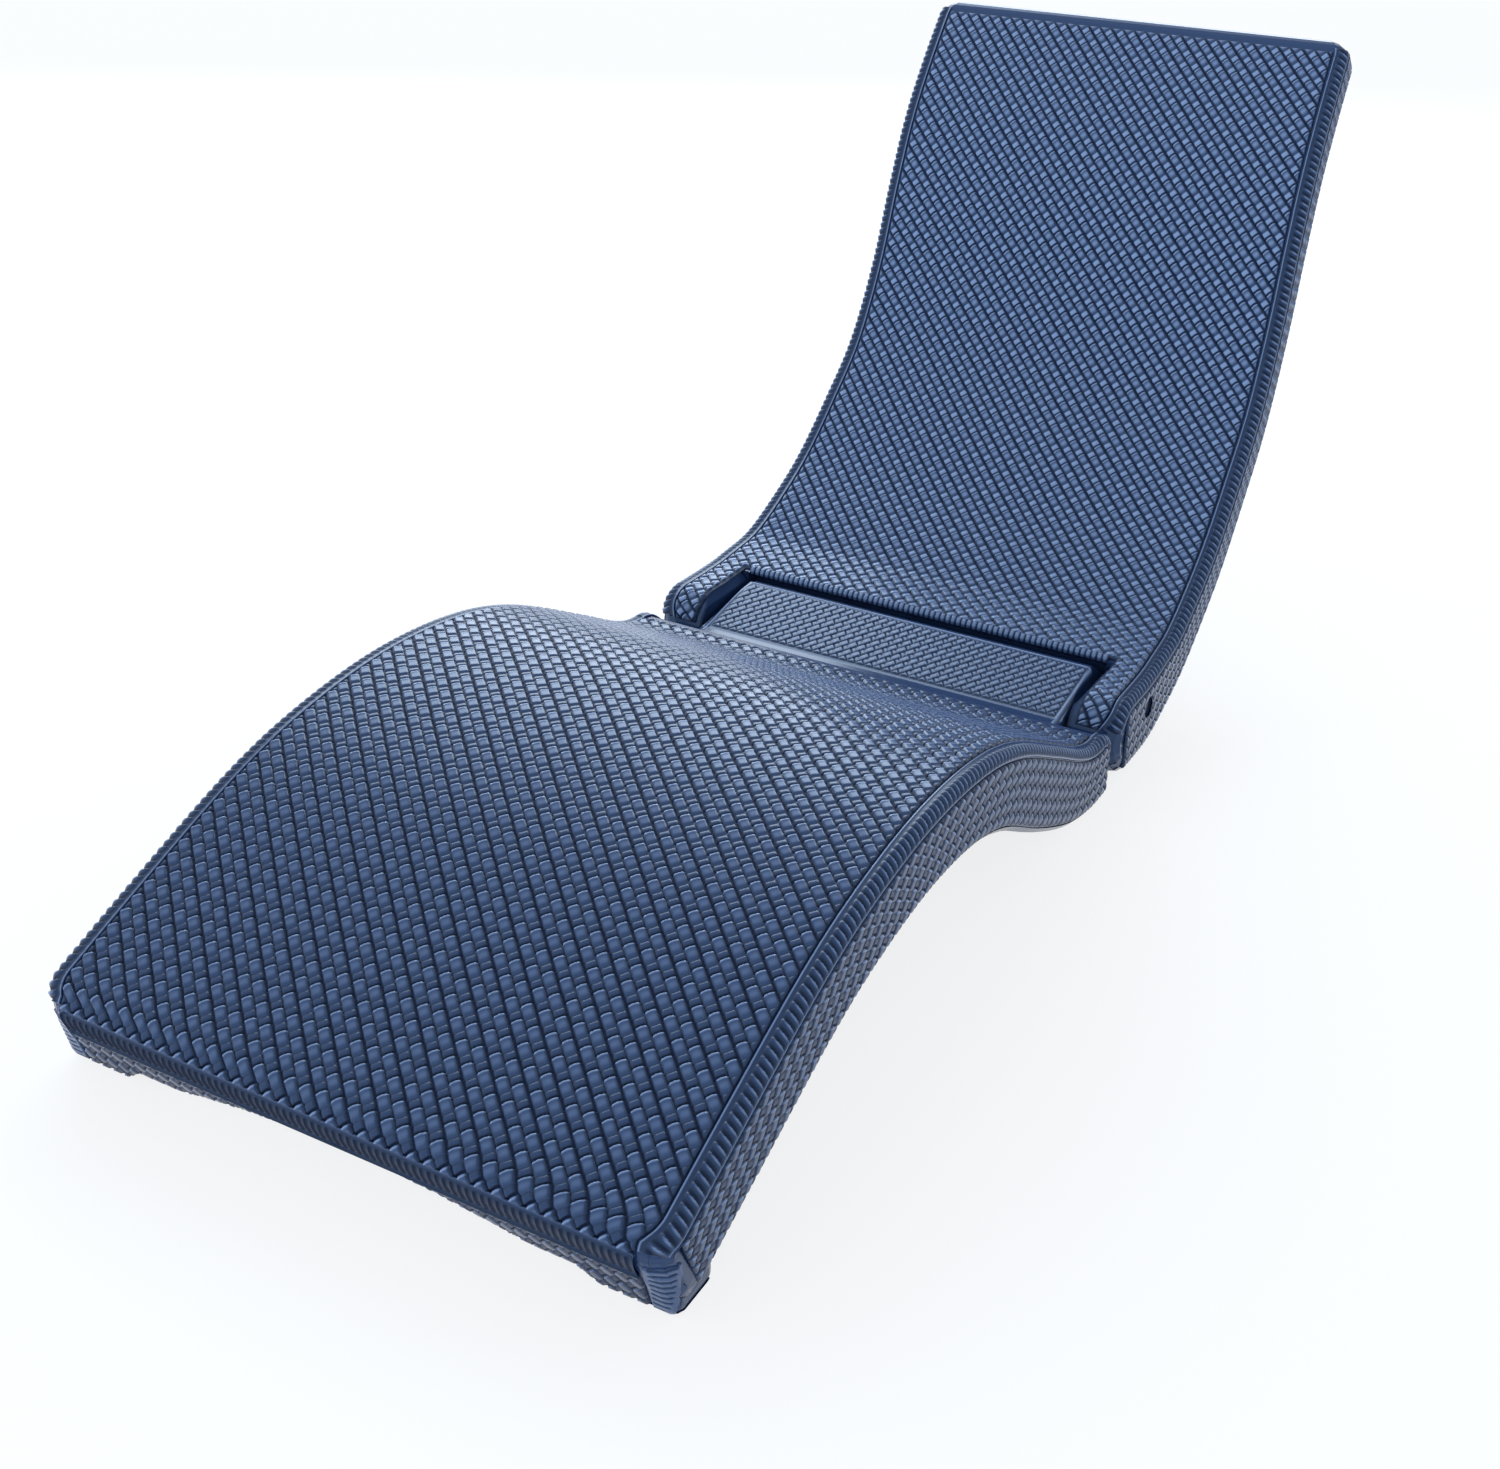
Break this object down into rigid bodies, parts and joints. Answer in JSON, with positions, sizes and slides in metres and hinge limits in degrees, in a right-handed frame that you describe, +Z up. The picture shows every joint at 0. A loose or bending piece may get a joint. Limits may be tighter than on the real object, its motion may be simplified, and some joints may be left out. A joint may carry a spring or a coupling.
{
  "type": "pool chaise lounge",
  "caption": "Wave-shaped in-pool chaise lounge of two hollow plastic mouldings with a woven look, the curved back folding forward on a hinge rod over the seat.",
  "frame": {"origin": "on the floor, at the bottom centre of the open lounge", "axes": "+Z up; +Y from the foot end towards the back; X across, on the lounge's middle plane"},
  "size_m": [0.5968, 1.6002, 0.6856],
  "materials": {
    "shell": "navy polyethylene with a moulded woven relief, semi-gloss",
    "rod": "brushed stainless",
    "fittings": "satin dark plastic",
    "seal": "soft black"
  },
  "bodies": {
    "seat": {"seat_shell": "shell", "hinge_rod": "rod", "hinge_cap_left": "fittings", "hinge_cap_right": "fittings", "seat_plug_seal": "seal"},
    "back": {"back_shell": "shell", "back_plug_seal": "seal"},
    "seat_plug": {"seat_fill_plug": "fittings"},
    "back_plug": {"back_fill_plug": "fittings"}
  },
  "joints": [
    {"name": "back_fold", "type": "hinge", "parent": "seat", "child": "back", "pos_m": [0, 0.2, 0.052], "axis": [1, 0, 0], "range_deg": [0, 65]},
    {"name": "seat_plug_turn", "type": "hinge", "parent": "seat", "child": "seat_plug", "pos_m": [0, -0.37767, 0.13071], "axis": [0, 0.0345, -0.9994], "range_deg": [0, 360]},
    {"name": "back_plug_turn", "type": "hinge", "parent": "back", "child": "back_plug", "pos_m": [0, 0.62704, 0.30837], "axis": [0, 0.8881, -0.4597], "range_deg": [0, 360]}
  ]
}
